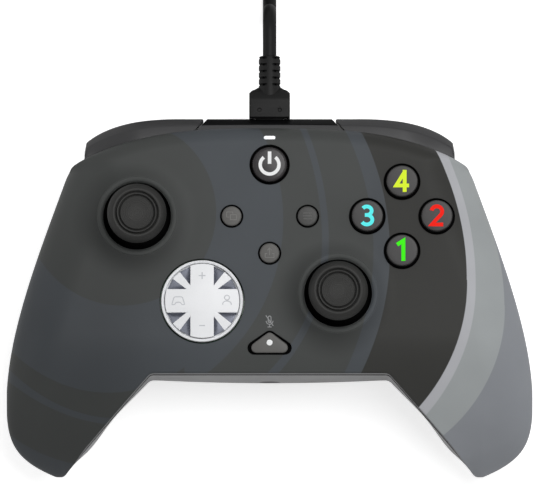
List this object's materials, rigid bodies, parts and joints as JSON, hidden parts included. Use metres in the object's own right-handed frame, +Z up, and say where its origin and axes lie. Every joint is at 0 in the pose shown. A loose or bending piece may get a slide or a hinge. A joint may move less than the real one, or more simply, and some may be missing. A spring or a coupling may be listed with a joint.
{
  "type": "wired game controller",
  "caption": "Wired game controller with thumb sticks, direction pad, action buttons, bumpers, triggers, rumble motors and a coiled lead.",
  "frame": {"origin": "on the table under the middle of the pad, lead left out", "axes": "+X to the player's right, +Y away from the player towards the lead, +Z up out of the face"},
  "size_m": [0.1548, 0.2175, 0.059],
  "materials": {
    "face_plastic": "soft-touch moulded plastic with printed arcs in greys",
    "rear_plastic": "fine-textured silver-grey moulded plastic",
    "shoulder_plastic": "dark satin plastic",
    "trigger_plastic": "dark matt plastic",
    "led_lens": "clear white light pipe",
    "circuit_board": "green solder mask",
    "frame_plastic": "plain moulded plastic",
    "spacer_plastic": "plain moulded plastic",
    "steel": "bare steel",
    "black_steel": "blackened steel",
    "membrane": "moulded silicone",
    "stick_rubber": "matt rubber with fine rings",
    "pad_plastic": "bright white plastic",
    "button_plastic": "dark grey plastic with a coloured numeral",
    "small_button_plastic": "grey plastic with a faint pictogram",
    "home_plastic": "glossy black with a white symbol",
    "weight_metal": "plain cast weight",
    "cord_jacket": "matt black jacket",
    "plug_plastic": "matt black overmould",
    "tie": "woven hook-and-loop tie"
  },
  "bodies": {
    "case": {"top_shell": "face_plastic", "rear_shell": "rear_plastic", "top_bridge": "shoulder_plastic", "status_led": "led_lens", "button_board": "circuit_board", "main_board": "circuit_board", "board_spacers": "spacer_plastic", "board_screws": "steel", "case_screws": "black_steel", "mid_frame": "frame_plastic", "action_membrane": "membrane", "dpad_membrane": "membrane", "dpad_post": "frame_plastic", "tact_switches": "black_steel", "usb_socket": "steel", "headset_jack": "frame_plastic", "left_stick_housing": "frame_plastic", "right_stick_housing": "frame_plastic", "left_motor": "steel", "right_motor": "steel", "trigger_pins": "steel", "bumper_pins": "steel", "left_trigger_spring": "steel", "right_trigger_spring": "steel", "cord_plug": "plug_plastic", "strain_relief": "plug_plastic", "cord_lead": "cord_jacket", "cord_coil": "cord_jacket", "cord_tail": "cord_jacket", "cable_tie": "tie", "far_plug": "plug_plastic"},
    "left_bumper_body": {"left_bumper": "shoulder_plastic"},
    "left_trigger_body": {"left_trigger": "trigger_plastic"},
    "right_bumper_body": {"right_bumper": "shoulder_plastic"},
    "right_trigger_body": {"right_trigger": "trigger_plastic"},
    "left_stick_rock_body": {"left_stick_rocker": "steel"},
    "left_stick_tip_body": {"left_stick_cross": "steel"},
    "left_stick_click_body": {"left_stick_shaft": "frame_plastic", "left_stick_cap": "stick_rubber"},
    "right_stick_rock_body": {"right_stick_rocker": "steel"},
    "right_stick_tip_body": {"right_stick_cross": "steel"},
    "right_stick_click_body": {"right_stick_shaft": "frame_plastic", "right_stick_cap": "stick_rubber"},
    "dpad_rock_body": {"dpad_pivot": "steel"},
    "dpad_tip_body": {"dpad_plate": "pad_plastic"},
    "top_button_body": {"top_button": "button_plastic"},
    "left_button_body": {"left_button": "button_plastic"},
    "right_button_body": {"right_button": "button_plastic"},
    "bottom_button_body": {"bottom_button": "button_plastic"},
    "home_button_body": {"home_button": "home_plastic"},
    "view_button_body": {"view_button": "small_button_plastic"},
    "menu_button_body": {"menu_button": "small_button_plastic"},
    "share_button_body": {"share_button": "small_button_plastic"},
    "mute_button_body": {"mute_button": "small_button_plastic"},
    "left_weight_body": {"left_weight": "weight_metal"},
    "right_weight_body": {"right_weight": "weight_metal"}
  },
  "joints": [
    {"name": "left_bumper_press", "type": "hinge", "parent": "case", "child": "left_bumper_body", "pos_m": [-0.0226, 0.0425, 0.036], "axis": [0, 0, 1], "range_deg": [0, 2], "stiffness_Nm_per_rad": 1, "springref_deg": -2.86},
    {"name": "left_trigger_pull", "type": "hinge", "parent": "case", "child": "left_trigger_body", "pos_m": [-0.0405, 0.034, 0.0303], "axis": [-1, 0, 0], "range_deg": [0, 16], "stiffness_Nm_per_rad": 0.05, "springref_deg": -17.19, "deforming": ["left_trigger_spring"]},
    {"name": "right_bumper_press", "type": "hinge", "parent": "case", "child": "right_bumper_body", "pos_m": [0.0226, 0.0425, 0.036], "axis": [0, 0, -1], "range_deg": [0, 2], "stiffness_Nm_per_rad": 1, "springref_deg": -2.86},
    {"name": "right_trigger_pull", "type": "hinge", "parent": "case", "child": "right_trigger_body", "pos_m": [0.0405, 0.034, 0.0303], "axis": [-1, 0, 0], "range_deg": [0, 16], "stiffness_Nm_per_rad": 0.05, "springref_deg": -17.19, "deforming": ["right_trigger_spring"]},
    {"name": "left_stick_rock", "type": "hinge", "parent": "case", "child": "left_stick_rock_body", "pos_m": [-0.03891, 0.02275, 0.034], "axis": [1, 0, 0], "range_deg": [-16, 16], "stiffness_Nm_per_rad": 0.03},
    {"name": "left_stick_tip", "type": "hinge", "parent": "left_stick_rock_body", "child": "left_stick_tip_body", "pos_m": [-0.03891, 0.02275, 0.034], "axis": [0, 1, 0], "range_deg": [-16, 16], "stiffness_Nm_per_rad": 0.03},
    {"name": "left_stick_click", "type": "slide", "parent": "left_stick_tip_body", "child": "left_stick_click_body", "axis": [0, 0, -1], "range_m": [0, 0.0005], "stiffness_N_per_m": 4000, "springref_m": -0.001},
    {"name": "right_stick_rock", "type": "hinge", "parent": "case", "child": "right_stick_rock_body", "pos_m": [0.0201, 0, 0.034], "axis": [1, 0, 0], "range_deg": [-16, 16], "stiffness_Nm_per_rad": 0.03},
    {"name": "right_stick_tip", "type": "hinge", "parent": "right_stick_rock_body", "child": "right_stick_tip_body", "pos_m": [0.0201, 0, 0.034], "axis": [0, 1, 0], "range_deg": [-16, 16], "stiffness_Nm_per_rad": 0.03},
    {"name": "right_stick_click", "type": "slide", "parent": "right_stick_tip_body", "child": "right_stick_click_body", "axis": [0, 0, -1], "range_m": [0, 0.0005], "stiffness_N_per_m": 4000, "springref_m": -0.001},
    {"name": "dpad_rock", "type": "hinge", "parent": "case", "child": "dpad_rock_body", "pos_m": [-0.0198, -0.0023, 0.0436], "axis": [1, 0, 0], "range_deg": [-4, 4], "stiffness_Nm_per_rad": 0.3},
    {"name": "dpad_tip", "type": "hinge", "parent": "dpad_rock_body", "child": "dpad_tip_body", "pos_m": [-0.0198, -0.0023, 0.0436], "axis": [0, 1, 0], "range_deg": [-4, 4], "stiffness_Nm_per_rad": 0.3},
    {"name": "top_button_press", "type": "slide", "parent": "case", "child": "top_button_body", "axis": [0, 0, -1], "range_m": [0, 0.0014], "stiffness_N_per_m": 300, "springref_m": -0.002},
    {"name": "left_button_press", "type": "slide", "parent": "case", "child": "left_button_body", "axis": [0, 0, -1], "range_m": [0, 0.0014], "stiffness_N_per_m": 300, "springref_m": -0.002},
    {"name": "right_button_press", "type": "slide", "parent": "case", "child": "right_button_body", "axis": [0, 0, -1], "range_m": [0, 0.0014], "stiffness_N_per_m": 300, "springref_m": -0.002},
    {"name": "bottom_button_press", "type": "slide", "parent": "case", "child": "bottom_button_body", "axis": [0, 0, -1], "range_m": [0, 0.0014], "stiffness_N_per_m": 300, "springref_m": -0.002},
    {"name": "home_button_press", "type": "slide", "parent": "case", "child": "home_button_body", "axis": [0, 0, -1], "range_m": [0, 0.0006], "stiffness_N_per_m": 1000, "springref_m": -0.001},
    {"name": "view_button_press", "type": "slide", "parent": "case", "child": "view_button_body", "axis": [0, 0, -1], "range_m": [0, 0.0006], "stiffness_N_per_m": 1000, "springref_m": -0.001},
    {"name": "menu_button_press", "type": "slide", "parent": "case", "child": "menu_button_body", "axis": [0, 0, -1], "range_m": [0, 0.0006], "stiffness_N_per_m": 1000, "springref_m": -0.001},
    {"name": "share_button_press", "type": "slide", "parent": "case", "child": "share_button_body", "axis": [0, 0, -1], "range_m": [0, 0.0006], "stiffness_N_per_m": 1000, "springref_m": -0.001},
    {"name": "mute_button_press", "type": "slide", "parent": "case", "child": "mute_button_body", "axis": [0, 0, -1], "range_m": [0, 0.0006], "stiffness_N_per_m": 1000, "springref_m": -0.001},
    {"name": "left_weight_spin", "type": "hinge", "parent": "case", "child": "left_weight_body", "pos_m": [-0.06, -0.016, 0.02], "axis": [0, 1, 0], "continuous": true},
    {"name": "right_weight_spin", "type": "hinge", "parent": "case", "child": "right_weight_body", "pos_m": [0.06, -0.016, 0.02], "axis": [0, 1, 0], "continuous": true}
  ]
}
